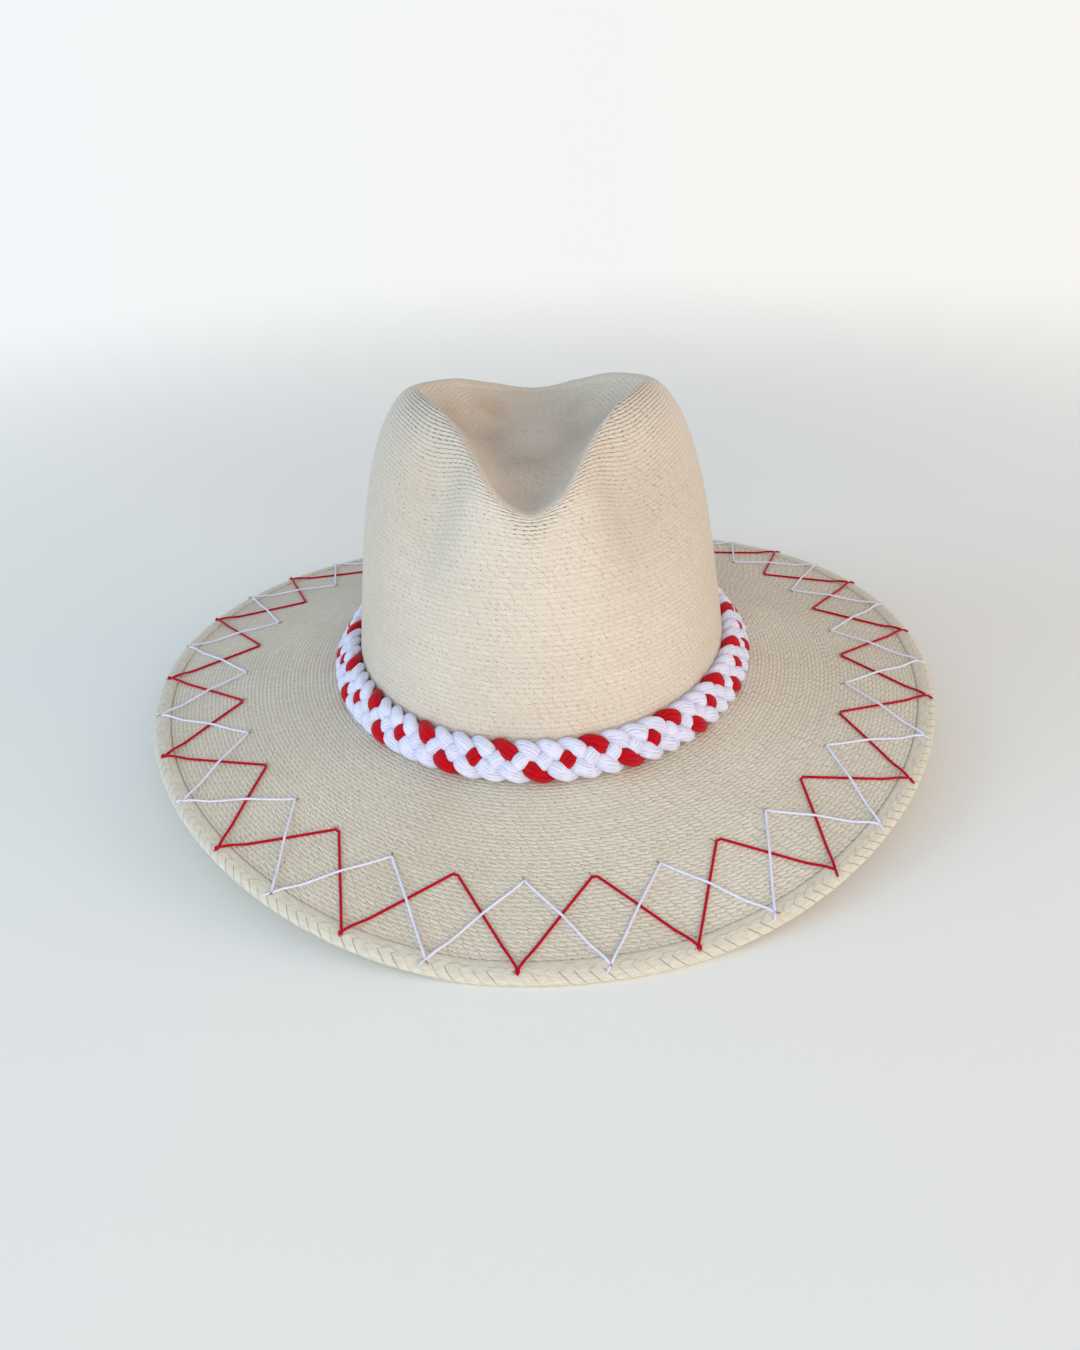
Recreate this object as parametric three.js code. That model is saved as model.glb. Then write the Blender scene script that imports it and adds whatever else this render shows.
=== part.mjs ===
// A palm leaf hat with a plaited cord band, in millimetres.
// +Z is up, the front of the hat looks towards -Y and +X is on the viewer's right.
// The origin lies under the middle of the crown, on the surface that the brim rests on.
// Heights inside the shape functions are counted from the foot of the crown.

import * as THREE from 'three'

// Crown, as the oval dome that it is before the hand creases it
const CROWN_HALF_WIDTH = 84
const CROWN_HALF_LENGTH = 106
const DOME_HEIGHT = 138.5
const DOME_TAPER = 0.2 // share of the width that is lost between the foot and the top
const WALL_FULLNESS = 4.6 // higher keeps the wall upright for longer
const SHOULDER_FULLNESS = 4.2 // higher makes the shoulder squarer
const BACK_DROP = 22 // how far the top sinks towards the back of the head
const BACK_DROP_START = -12
const BACK_DROP_END = 75
const STRAW_WALL = 2

// Teardrop dent in the top, one row for each direction from the front round to the back.
// reach is where its rim lies in plan, rim its height, round the softness of the ridge.
const DENT_RIM = [
  { angle: 0, reach: 86.5, rim: 98.5, round: 3 },
  { angle: 5, reach: 84.5, rim: 101.5, round: 3 },
  { angle: 9, reach: 81.5, rim: 105.5, round: 3 },
  { angle: 13, reach: 77.5, rim: 110.7, round: 3.2 },
  { angle: 18, reach: 72, rim: 116.6, round: 3.5 },
  { angle: 25, reach: 64.6, rim: 122.4, round: 4.5 },
  { angle: 35, reach: 56.6, rim: 126.8, round: 6 },
  { angle: 50, reach: 49.9, rim: 129, round: 8.5 },
  { angle: 70, reach: 46, rim: 129, round: 11.5 },
  { angle: 90, reach: 46, rim: 126, round: 13.5 },
  { angle: 115, reach: 45, rim: 124, round: 14 },
  { angle: 140, reach: 44.5, rim: 120, round: 14 },
  { angle: 160, reach: 51, rim: 114, round: 14 },
  { angle: 180, reach: 62, rim: 110, round: 14 },
]
const DENT_FLOOR = 104
const DENT_FLOOR_SHARE = 0.42 // the middle of the dent is level this far out
const DENT_SIDE_CURVE = 1.6
const DENT_CLIMB = 60 // keeps the dent's surface above the wall outside its rim
const LIP_HOLLOW = { y: -66, depth: 3, halfLength: 13, halfWidth: 14 }

// Hollow that finger and thumb press into each side of the front
const PINCH = { x: 38, y: -66, z: 104, depth: 9.5, sink: 0.45, inner: 12.5, outer: 20, above: 18, below: 36 }

// Brim, an oval whose sides stay nearly level while its front and back dip
const BRIM_HALF_WIDTH = 174.4
const BRIM_HALF_LENGTH = 195
const EDGE_MEAN = -14.3
const EDGE_DIP = 10.3
const EDGE_TWIST = 1.8
const EDGE_SIDE_LEAN = -1
const EDGE_LENGTHWISE = -0.73
const EDGE_SQUARENESS = -0.45
const EDGE_AT_REST = -23.9 // the brim lies flat where its edge would dip lower than this
const BRIM_CURVE = 1.168
const BRIM_THICKNESS = 2

// Plaited binding along the brim's edge. inset is counted from the edge and rise from the
// middle of the brim's thickness there, or from the edge itself where level is true.
const BINDING_WIDTH = 7
const BINDING_FOOT = 1.7
const BINDING_SECTION = [
  { inset: BINDING_WIDTH, rise: 1.7, level: false },
  { inset: 4.2, rise: 2, level: false },
  { inset: 1.2, rise: 1.5, level: false },
  { inset: 0, rise: 0.2, level: true },
  { inset: 0.7, rise: -BINDING_FOOT, level: true },
  { inset: 2.8, rise: -BINDING_FOOT, level: true },
  { inset: 4.8, rise: -1.6, level: false },
  { inset: BINDING_WIDTH, rise: -1.6, level: false },
]

// Flat plait of four cords that leans in the corner between crown and brim
const BAND_OUT = 5.2
const BAND_UP = 8
const BAND_TILT = THREE.MathUtils.degToRad(31)
const CORD_HALF_WIDTH = 1.75
const CORD_HALF_THICKNESS = 1.1
const CORD_SIDES = 5
const PLAIT_REPEATS = 18
const PLAIT_START = 0.546 // where the repeat begins, so that the red shows as on the front
const PLAIT_DRIFT = 0.116
const PLAIT_SWAY = 0.117
// One repeat of a cord in eight steps, as shares of the swing across and the lift at a crossing
const PLAIT_SWING = 5.4
const PLAIT_LIFT = 2.2
const PLAIT_REPEAT = [
  { across: 1, lift: 0 },
  { across: 0.63, lift: 1 },
  { across: 0, lift: -1 },
  { across: -0.63, lift: 1 },
  { across: -1, lift: 0 },
  { across: -0.63, lift: -1 },
  { across: 0, lift: 1 },
  { across: 0.63, lift: -1 },
]

const GAP = 0.3
const AROUND = 48
const CROWN_RINGS = 22
const RIM_RING = 12 // this ring of the crown follows the rim of the dent
const CROWN_FRONT_DETAIL = 0.35 // draws the crown's faces together towards the front's creases
const BRIM_RINGS = 5
const FOOT_HEIGHT = BINDING_FOOT - EDGE_AT_REST
const HALF_TURN = Math.PI

// Palm straw, cotton white and cotton red
const STRAW = { color: 0xe0d4bf, roughness: 0.72, metalness: 0 }
const BINDING_STRAW = { color: 0xe6dcc4, roughness: 0.62, metalness: 0 }
const WHITE_COTTON = { color: 0xf0f0f5, roughness: 0.95, metalness: 0 }
const RED_COTTON = { color: 0xb5101c, roughness: 0.95, metalness: 0 }

// Value of a table's column at an angle, by a cubic through its rows
function lookUp(table, column, angle) {
  const last = table.length - 1
  let i = 0
  while (i < last - 1 && table[i + 1].angle < angle) i += 1
  const slope = (k) => {
    if (k === 0 || k === last) return 0
    const before = table[k].angle - table[k - 1].angle
    const after = table[k + 1].angle - table[k].angle
    const rise = (table[k][column] - table[k - 1][column]) / before
    const fall = (table[k + 1][column] - table[k][column]) / after
    return (rise * after + fall * before) / (before + after)
  }
  const span = table[i + 1].angle - table[i].angle
  const u = (angle - table[i].angle) / span
  const start = table[i][column] * (1 + 2 * u) * (1 - u) ** 2
  const end = table[i + 1][column] * u * u * (3 - 2 * u)
  return start + end + span * u * (1 - u) * (slope(i) * (1 - u) - slope(i + 1) * u)
}

// Lower of two heights, with the corner between them rounded off
function roundedLower(a, b, round) {
  return 0.5 * (a + b - Math.hypot(a - b, round))
}

// Width of the dome as a share of its foot, at a share of its height
function domeShare(h) {
  return (1 - DOME_TAPER * h) * Math.max(1 - h ** WALL_FULLNESS, 0) ** (1 / SHOULDER_FULLNESS)
}

// The dome's outline from foot to top, as shares of its height and of its length so far
function domeOutline() {
  const samples = 2000
  const radius = Math.sqrt(CROWN_HALF_WIDTH * CROWN_HALF_LENGTH)
  const outline = []
  let length = 0
  for (let i = 0; i <= samples; i += 1) {
    const height = Math.sin((i / samples) * 0.5 * HALF_TURN) ** (2 / WALL_FULLNESS)
    if (i > 0) {
      const last = outline[i - 1].height
      length += Math.hypot(radius * (domeShare(height) - domeShare(last)), DOME_HEIGHT * (height - last))
    }
    outline.push({ height, length })
  }
  return outline.map((point) => ({ height: point.height, length: point.length / length }))
}

// Share of the dome's height at each ring of the crown in one direction. The rings lie evenly
// between the foot and the dent's rim, and evenly again from there to the middle of the top.
function ringHeights(outline, around) {
  const [x, y] = [CROWN_HALF_WIDTH * Math.cos(around), CROWN_HALF_LENGTH * Math.sin(around)]
  const angle = THREE.MathUtils.radToDeg(Math.atan2(Math.abs(x), -y))
  const rimShare = lookUp(DENT_RIM, 'reach', angle) / Math.hypot(x, y)
  const rim = outline.find((point) => domeShare(point.height) <= rimShare).length
  const foot = (BRIM_THICKNESS / 2 + GAP) / DOME_HEIGHT
  return Array.from({ length: CROWN_RINGS }, (_, k) => {
    const past = (k - RIM_RING) / (CROWN_RINGS - RIM_RING)
    const length = past > 0 ? rim + (1 - rim) * past : (rim * k) / RIM_RING
    return Math.max(outline.find((point) => point.length >= length).height, foot)
  })
}

// A point of the dome moved by the dent in its top and the two pinches beside it
function creased(x, y, z) {
  const back = THREE.MathUtils.smoothstep(y, BACK_DROP_START, BACK_DROP_END)
  const top = z - BACK_DROP * back * (z / DOME_HEIGHT) ** 2
  const angle = THREE.MathUtils.radToDeg(Math.atan2(Math.abs(x), -y))
  const share = Math.hypot(x, y) / lookUp(DENT_RIM, 'reach', angle)
  const climb = Math.max((share - DENT_FLOOR_SHARE) / (1 - DENT_FLOOR_SHARE), 0) ** DENT_SIDE_CURVE
  const lip = ((y - LIP_HOLLOW.y) / LIP_HOLLOW.halfLength) ** 2 + (x / LIP_HOLLOW.halfWidth) ** 2
  const dent = DENT_FLOOR + (lookUp(DENT_RIM, 'rim', angle) - DENT_FLOOR) * climb
  const floor = dent - LIP_HOLLOW.depth * Math.exp(-lip) + DENT_CLIMB * Math.max(share - 1, 0)
  const point = new THREE.Vector3(x, y, roundedLower(top, floor, lookUp(DENT_RIM, 'round', angle)))
  for (const side of [-1, 1]) {
    const slope = new THREE.Vector2(PINCH.x / CROWN_HALF_WIDTH ** 2, PINCH.y / CROWN_HALF_LENGTH ** 2)
    const inward = slope.normalize().multiply(new THREE.Vector2(-side, -1))
    const along = (y - PINCH.y) * side * -inward.x + (x - side * PINCH.x) * side * inward.y
    const above = top - PINCH.z
    const spread = (along / (along > 0 ? PINCH.outer : PINCH.inner)) ** 2
    const fade = (above / (above > 0 ? PINCH.above : PINCH.below)) ** 2
    const faces = x * inward.x + y * inward.y < 0 ? 1 : 0
    const push = PINCH.depth * Math.exp(-spread - fade) * faces
    point.x += push * inward.x
    point.y += push * inward.y
    point.z -= push * PINCH.sink
  }
  return point
}

// Point of the crown's outside, by the angle round it and the share of the dome's height
function crownPoint(around, h) {
  const share = domeShare(h)
  const x = CROWN_HALF_WIDTH * share * Math.cos(around)
  const y = CROWN_HALF_LENGTH * share * Math.sin(around)
  return creased(x, y, DOME_HEIGHT * h)
}

// Inside of the wall, a straw's thickness in from the outside along the surface's normal
function crownInside(around, h) {
  const step = 0.004
  const here = crownPoint(around, h)
  const sideways = crownPoint(around + step, h).sub(crownPoint(around - step, h))
  const upwards = crownPoint(around, Math.min(h + step, 1)).sub(crownPoint(around, Math.max(h - step, 0)))
  return here.addScaledVector(sideways.cross(upwards).normalize(), -STRAW_WALL)
}

// Height of the brim's edge, with the front and back dipping below the sides
function edgeHeight(around) {
  const wave = EDGE_MEAN + EDGE_DIP * Math.cos(2 * around) + EDGE_TWIST * Math.sin(2 * around)
    + EDGE_SIDE_LEAN * Math.cos(around) + EDGE_SQUARENESS * Math.cos(4 * around)
    + EDGE_LENGTHWISE * (Math.sin(around) + Math.sin(3 * around))
  return Math.max(wave, EDGE_AT_REST)
}

// Point in the middle of the brim's thickness, by the angle round it and the inset from its edge
function brimPoint(around, inset) {
  const share = THREE.MathUtils.clamp(1 - inset / (BRIM_HALF_WIDTH - CROWN_HALF_WIDTH), 0, 1)
  return new THREE.Vector3(
    (BRIM_HALF_WIDTH - inset) * Math.cos(around),
    (BRIM_HALF_LENGTH - inset) * Math.sin(around),
    edgeHeight(around) * share ** BRIM_CURVE,
  )
}

// Points of one ring or its columns, counter-clockwise seen from above
function ring(count, pointAt) {
  return Array.from({ length: count }, (_, i) => pointAt((2 * HALF_TURN * i) / count))
}

// Closed body through rings of equally many points. It closes on itself, or on two poles,
// and each four-sided face is split along its shorter diagonal.
function loft(rings, poles) {
  const count = rings[0].length
  const points = rings.flat()
  const faces = []
  const pairs = poles ? rings.length - 1 : rings.length
  for (let r = 0; r < pairs; r += 1) {
    const near = r * count
    const far = ((r + 1) % rings.length) * count
    for (let i = 0; i < count; i += 1) {
      const next = (i + 1) % count
      const [a, b, c, d] = [near + i, near + next, far + next, far + i]
      const short = points[a].distanceTo(points[c]) <= points[b].distanceTo(points[d])
      faces.push(...(short ? [a, b, c, a, c, d] : [a, b, d, b, c, d]))
    }
  }
  if (poles) {
    const first = points.length
    const last = first + 1
    const top = (rings.length - 1) * count
    points.push(poles.first, poles.last)
    for (let i = 0; i < count; i += 1) {
      const next = (i + 1) % count
      faces.push(first, next, i, top + i, top + next, last)
    }
  }
  const geometry = new THREE.BufferGeometry().setFromPoints(points)
  geometry.setIndex(faces)
  geometry.computeVertexNormals()
  return geometry
}

// The straw wall of the crown, open below, from the middle of its inside over the foot
// and up the outside to the middle of its top
function crown() {
  const outline = domeOutline()
  const columns = ring(AROUND, (turn) => {
    const around = turn - CROWN_FRONT_DETAIL * Math.cos(turn)
    return { around, heights: ringHeights(outline, around) }
  })
  const rings = (pointAt) => Array.from({ length: CROWN_RINGS }, (_, k) => (
    columns.map(({ around, heights }) => pointAt(around, heights[k]))
  ))
  const [inside, outside] = [rings(crownInside), rings(crownPoint)]
  for (const point of [...inside[0], ...outside[0]]) point.z = BRIM_THICKNESS / 2 + GAP
  const top = creased(0, 0, DOME_HEIGHT)
  const poles = { first: top.clone().setZ(top.z - STRAW_WALL), last: top }
  return loft([...inside.reverse(), ...outside], poles)
}

// The straw brim from the head opening out to the binding
function brim() {
  const inner = BRIM_HALF_WIDTH - CROWN_HALF_WIDTH + STRAW_WALL
  const outer = BINDING_WIDTH + GAP
  const sheet = (side) => Array.from({ length: BRIM_RINGS }, (_, k) => ring(AROUND, (around) => {
    const point = brimPoint(around, THREE.MathUtils.lerp(inner, outer, k / (BRIM_RINGS - 1)))
    return point.setZ(point.z + (side * BRIM_THICKNESS) / 2)
  }))
  return loft([...sheet(-1), ...sheet(1).reverse()])
}

// The wide plait that closes the brim's edge and carries the hat where it rests
function edgeBinding() {
  const rings = BINDING_SECTION.map(({ inset, rise, level }) => ring(AROUND, (around) => {
    const point = brimPoint(around, inset)
    return point.setZ((level ? edgeHeight(around) : point.z) + rise)
  }))
  return loft(rings.reverse())
}

// Point of the band by the angle round from the front, the way up its face and the lift off it
function bandPoint(fromFront, across, lift) {
  const out = BAND_OUT - Math.sin(BAND_TILT) * across + Math.cos(BAND_TILT) * lift
  const up = BAND_UP + Math.cos(BAND_TILT) * across + Math.sin(BAND_TILT) * lift
  const share = 1 - (DOME_TAPER * up) / DOME_HEIGHT
  const cos = Math.cos(fromFront - HALF_TURN / 2)
  const sin = Math.sin(fromFront - HALF_TURN / 2)
  const wall = new THREE.Vector3(CROWN_HALF_WIDTH * share * cos, CROWN_HALF_LENGTH * share * sin, up)
  const outward = new THREE.Vector3(cos / CROWN_HALF_WIDTH, sin / CROWN_HALF_LENGTH, 0).normalize()
  return wall.addScaledVector(outward, out)
}

// Angle from the front at which a cord has made so many repeats of the plait, by iteration
function plaitAngle(repeats) {
  const passes = 30
  let angle = 0
  for (let i = 0; i < passes; i += 1) {
    const drift = PLAIT_DRIFT * Math.sin(angle) + PLAIT_SWAY * Math.sin(2 * angle)
    angle = ((repeats + PLAIT_START + drift) / PLAIT_REPEATS) * 2 * HALF_TURN
  }
  return angle
}

// One cord of the plait, a flattened tube that runs once round the crown.
// place is its turn in the repeat, from 0 to 3.
function bandCord(place) {
  const steps = PLAIT_REPEAT.length
  const count = PLAIT_REPEATS * steps
  const middle = Array.from({ length: count }, (_, i) => {
    const { across, lift } = PLAIT_REPEAT[i % steps]
    return { angle: plaitAngle(i / steps - place / 4), across: across * PLAIT_SWING, lift: lift * PLAIT_LIFT }
  })
  const radius = (CROWN_HALF_WIDTH + CROWN_HALF_LENGTH) / 2 + BAND_OUT
  const corner = (i, k) => {
    const { angle, across, lift } = middle[i]
    const before = middle[(i + count - 1) % count]
    const after = middle[(i + 1) % count]
    const round = 2 * HALF_TURN
    const forward = radius * ((after.angle - before.angle + round) % round)
    const slope = Math.atan2(after.across - before.across, forward)
    const turn = (round * k) / CORD_SIDES + HALF_TURN / 2
    const wide = CORD_HALF_WIDTH * Math.cos(turn)
    const thick = CORD_HALF_THICKNESS * Math.sin(turn)
    return bandPoint(angle - (wide * Math.sin(slope)) / radius, across + wide * Math.cos(slope), lift + thick)
  }
  const rings = Array.from({ length: CORD_SIDES }, (_, k) => middle.map((_, i) => corner(i, k)))
  return loft(rings.reverse())
}

// A named mesh with its own material
function piece(name, geometry, look) {
  const mesh = new THREE.Mesh(geometry, new THREE.MeshStandardMaterial(look))
  mesh.name = name
  return mesh
}

const hat = new THREE.Group()
const onFoot = new THREE.Group()
onFoot.position.z = FOOT_HEIGHT
onFoot.add(
  piece('crown', crown(), STRAW),
  piece('brim', brim(), STRAW),
  piece('edge_binding', edgeBinding(), BINDING_STRAW),
  piece('band_cord_red', bandCord(0), RED_COTTON),
)
for (const place of [1, 2, 3]) {
  onFoot.add(piece(`band_cord_white_${place}`, bandCord(place), WHITE_COTTON))
}
hat.add(onFoot)

export default hat
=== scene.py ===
# %% [markdown]
# # A palm leaf hat with a plaited cord band
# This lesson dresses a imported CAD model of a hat. The real hat is one long braid of palm leaf, sewn round
# and round into a crown and a brim. A wider plait closes the edge, two threads are laced round the brim
# in a zigzag, and a flat plait of four cotton cords lies in the corner between crown and brim. Every
# shape below is a formula on a grid of numbers, worked out with numpy, and every finish is made of shader
# nodes. The CAD model is the fixed frame: nothing in it is moved, and the fine pieces take the place of
# its nodes.

import bpy
import numpy as np
from mathutils import Matrix, Vector


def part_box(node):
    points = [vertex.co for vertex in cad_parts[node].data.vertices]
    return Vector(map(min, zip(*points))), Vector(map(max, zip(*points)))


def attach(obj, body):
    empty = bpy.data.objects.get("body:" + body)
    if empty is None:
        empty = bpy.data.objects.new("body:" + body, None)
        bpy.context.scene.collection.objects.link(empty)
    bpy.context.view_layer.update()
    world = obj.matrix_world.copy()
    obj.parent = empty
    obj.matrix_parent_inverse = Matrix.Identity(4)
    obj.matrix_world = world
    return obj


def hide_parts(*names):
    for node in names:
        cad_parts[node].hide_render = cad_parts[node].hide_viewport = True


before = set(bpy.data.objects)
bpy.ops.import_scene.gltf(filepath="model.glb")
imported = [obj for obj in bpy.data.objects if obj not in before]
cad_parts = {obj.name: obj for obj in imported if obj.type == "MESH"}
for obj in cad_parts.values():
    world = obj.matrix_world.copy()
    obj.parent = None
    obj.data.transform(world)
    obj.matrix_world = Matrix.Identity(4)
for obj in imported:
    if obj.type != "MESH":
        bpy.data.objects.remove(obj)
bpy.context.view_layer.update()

# %% [markdown]
# ## Sizes
# The lengths are in millimetres, as a hat maker would write them, and heights are counted from the foot
# of the crown, where it meets the brim. The brim's two half lengths and the height of the foot come from
# the frame, so they can't drift away from it. Nearly all other numbers are those that the CAD model was
# drawn with. Only the two pinches are a little softer here, and the cords plumper.

# %% Sizes of the crown and the brim
MM = 0.001
BINDING_FOOT = 1.7
BRIM_HALF_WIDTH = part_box("edge_binding")[1].x / MM
BRIM_HALF_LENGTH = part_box("edge_binding")[1].y / MM
BRIM_THICKNESS = 2
SEAM_GAP = 0.3
FOOT_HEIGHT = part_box("crown")[0].z / MM - BRIM_THICKNESS / 2 - SEAM_GAP
EDGE_AT_REST = BINDING_FOOT - FOOT_HEIGHT
CROWN_HALF_WIDTH = 84
CROWN_HALF_LENGTH = 106
DOME_HEIGHT = 138.5
DOME_TAPER = 0.2
WALL_FULLNESS = 4.6
SHOULDER_FULLNESS = 4.2
STRAW_WALL = 2
TURN = 2 * np.pi
FRONT = -TURN / 4
BACK = -3 * TURN / 4
print(f"brim {2 * BRIM_HALF_WIDTH:.1f} x {2 * BRIM_HALF_LENGTH:.1f} mm")
print(f"crown's foot {FOOT_HEIGHT:.1f} mm up")

# %% [markdown]
# ## The camera
# The camera is settled first, because every later choice of detail depends on what it sees. It looks down
# at the front of the hat from a little over half a metre, slightly turned and slightly rolled. Its place
# is worked out from three angles and a distance, counted from the middle of the crown's foot. The lens
# comes from its focal length in pixels of an image 1350 pixels high, and the small shift slides the
# picture as in the photograph.

# %% Camera
IMAGE_HEIGHT = 1350
SENSOR_HEIGHT = 36
CAMERA_PITCH = np.radians(27.565)
CAMERA_YAW = np.radians(1.564)
CAMERA_ROLL = np.radians(-2.542)
CAMERA_DISTANCE = 546
FOCAL_PIXELS = 1166.2
SHIFT_PIXELS = (-2.56, -28.8)


def new_object(name, data):
    """Object that shows the given camera, mesh or lamp, linked into the scene."""
    shown = bpy.data.objects.new(name, data)
    bpy.context.scene.collection.objects.link(shown)
    return shown


def camera_axes(pitch, yaw, roll):
    """Right, up and back directions of a camera that looks down by pitch, is turned by yaw about the
    upright and then rolled about its own line of sight."""
    back = np.array([np.sin(yaw) * np.cos(pitch), -np.cos(yaw) * np.cos(pitch), np.sin(pitch)])
    level = np.array([np.cos(yaw), np.sin(yaw), 0])
    upright = np.cross(back, level)
    right = np.cos(roll) * level + np.sin(roll) * upright
    up = np.cos(roll) * upright - np.sin(roll) * level
    return right, up, back


right, up, back = camera_axes(CAMERA_PITCH, CAMERA_YAW, CAMERA_ROLL)
camera_data = bpy.data.cameras.new("camera")
camera = new_object("camera", camera_data)
camera_matrix = Matrix((Vector(right), Vector(up), Vector(back))).transposed().to_4x4()
camera_matrix.translation = Vector(back * CAMERA_DISTANCE + (0, 0, FOOT_HEIGHT)) * MM
camera.matrix_world = camera_matrix
camera_data.sensor_fit = "VERTICAL"
camera_data.sensor_height = SENSOR_HEIGHT
camera_data.lens = FOCAL_PIXELS / IMAGE_HEIGHT * SENSOR_HEIGHT
camera_data.shift_x = SHIFT_PIXELS[0] / IMAGE_HEIGHT
camera_data.shift_y = SHIFT_PIXELS[1] / IMAGE_HEIGHT
camera_data.clip_start = 0.01
bpy.context.scene.camera = camera
print(f"lens {camera_data.lens:.1f} mm")

# %% [markdown]
# ## From a grid of points to a mesh
# All big pieces of a hat run once round the head, so one helper serves them all. It takes a grid of
# points whose columns close on themselves, and a second grid with the pattern coordinates of each point.
# The second grid has one column more, because the pattern ends at a full turn where the shape is back at
# its start. The rows can close on themselves too, as in a tube, or end in two poles, as in a shell.

# %% Grid helper
FINE_STEPS = 7200


def unit(vectors):
    """Each vector divided by its own length."""
    return vectors / np.linalg.norm(vectors, axis=-1, keepdims=True)


def running_sum(steps):
    """0 and then the sum of the steps so far."""
    return np.concatenate([[0], np.cumsum(steps)])


def between(low, high, share):
    """low where the share is 0, high where it is 1."""
    return low + (high - low) * share


def put_in_scene(name, corners, faces, pattern, slot, *nodes):
    """Mesh object from corner points in millimetres above the foot of the crown, lists of corner numbers
    and one pattern coordinate for each corner of each face. It rides on the hat and stands for the
    given CAD nodes."""
    mesh = bpy.data.meshes.new(name)
    mesh.from_pydata(((corners + (0, 0, FOOT_HEIGHT)) * MM).tolist(), [], faces)
    mesh.uv_layers.new(name="pattern").data.foreach_set("uv", pattern.astype(np.float32).ravel())
    mesh.polygons.foreach_set("use_smooth", np.ones(len(faces), bool))
    mesh.update()
    piece = new_object(name, mesh)
    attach(piece, "root")
    if nodes:
        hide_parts(*nodes)
    triangles = sum(len(face) - 2 for face in faces)
    print(f"{name}: {triangles} triangles, {np.ptp(corners, axis=0).round(1)} mm")
    return piece


def ring_faces(rows, columns, closed):
    """Corner numbers and pattern numbers of the four-sided faces between neighbouring rows of a closed
    grid."""
    row, column = np.meshgrid(np.arange(rows if closed else rows - 1), np.arange(columns), indexing="ij")
    steps = [(0, 0), (0, 1), (1, 1), (1, 0)]
    corner = [((row + down) % rows) * columns + (column + along) % columns for down, along in steps]
    mark = [(row + down) * (columns + 1) + column + along for down, along in steps]
    return np.stack(corner, -1).reshape(-1, 4), np.stack(mark, -1).reshape(-1, 4)


def ring_piece(name, points, pattern, slot, *nodes, poles=None):
    """Piece from a grid of points. Without poles the rows close on themselves. With poles, the two points
    given close the first and the last row by a fan of triangles."""
    rows, columns = points.shape[:2]
    faces, marks = ring_faces(rows, columns, poles is None)
    corners = points.reshape(-1, 3)
    pattern_list = pattern.reshape(-1, 2)[marks].reshape(-1, 2)
    faces = faces.tolist()
    if poles is not None:
        here = np.arange(columns)
        there = (here + 1) % columns
        first, last = len(corners), len(corners) + 1
        top = (rows - 1) * columns
        fans = [np.stack([np.full(columns, first), there, here], -1),
                np.stack([top + here, top + there, np.full(columns, last)], -1)]
        ends = [np.stack([pattern[0, :-1], pattern[0, 1:], pattern[0, :-1]], 1),
                np.stack([pattern[-1, :-1], pattern[-1, 1:], pattern[-1, :-1]], 1)]
        corners = np.vstack([corners, poles])
        faces += np.vstack(fans).tolist()
        pattern_list = np.vstack([pattern_list, np.concatenate(ends).reshape(-1, 2)])
    return put_in_scene(name, corners, faces, pattern_list, slot, *nodes)


def around_with(columns, gather=0.0):
    """Angles of the columns from the back round to the back again, one more than a full turn's worth. The
    front is at minus a quarter turn, and gather draws the columns together there."""
    turn = np.linspace(0, TURN, columns + 1)
    return BACK + turn + gather * np.sin(turn)


def from_front(around, half_width, half_length):
    """Distance along an oval from the front, negative on the wearer's right, by adding up short straight
    steps."""
    fine = np.linspace(BACK, BACK + TURN, FINE_STEPS + 1)
    step = np.hypot(half_width * np.diff(np.cos(fine)), half_length * np.diff(np.sin(fine)))
    run = running_sum(step)
    return np.interp(around, fine, run - run[-1] / 2)


def braid_pattern(around, rows, sizes, half_width, half_length):
    """Pattern of a sewn braid: the distance from the front along each row, whose size is a share of the
    given oval, and the row's number."""
    length = from_front(around, half_width, half_length)
    return np.stack([np.outer(sizes, length), np.repeat(rows[:, None], len(around), axis=1)], -1)


# %% [markdown]
# ## The shape of the crown
# A hatter starts from an oval dome and creases it by hand. The formula does the same. First comes the
# dome, an oval whose size falls slowly up the wall and quickly over the shoulder. Then a dent in the
# shape of a teardrop is pressed in from above: at each point the surface is the lower one of the dome and
# the dent, with the corner between them rounded. Last, finger and thumb pinch the two sides of the front.
# The dent's rim is a short table with a row for each direction from the front round to the back: how far
# out the rim lies there, how high it is and how softly it is rounded.

# %% Crown formula
DENT_RIM = np.array(
    [(0, 86.5, 98.5, 3), (5, 84.5, 101.5, 3), (9, 81.5, 105.5, 3), (13, 77.5, 110.7, 3.2),
     (18, 72, 116.6, 3.5), (25, 64.6, 122.4, 4.5), (35, 56.6, 126.8, 6), (50, 49.9, 129, 8.5),
     (70, 46, 129, 11.5), (90, 46, 126, 13.5), (115, 45, 124, 14), (140, 44.5, 120, 14),
     (160, 51, 114, 14), (180, 62, 110, 14)],
    dtype=[("angle", float), ("reach", float), ("rim", float), ("round", float)],
)
DENT_FLOOR = 104
DENT_FLOOR_SHARE = 0.42
DENT_FLOOR_ROUND = 8
DENT_SIDE_CURVE = 1.6
DENT_CLIMB = 60
BACK_DROP = 22
BACK_DROP_SPAN = (-12, 75)
LIP_HOLLOW = {"y": -66, "depth": 3, "half_length": 13, "half_width": 14}
PINCH = {"x": 38, "y": -66, "z": 104, "depth": 9.5, "sink": 0.45, "inner": 16.5, "outer": 20, "above": 18,
         "below": 33}


def cubic(here, there, slope_here, slope_there, u):
    """Cubic curve from here to there while u goes from 0 to 1, with the given slopes at its two ends."""
    ends = here * (1 + 2 * u) * (1 - u) ** 2 + there * u * u * (3 - 2 * u)
    return ends + u * (1 - u) * (slope_here * (1 - u) - slope_there * u)


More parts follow.
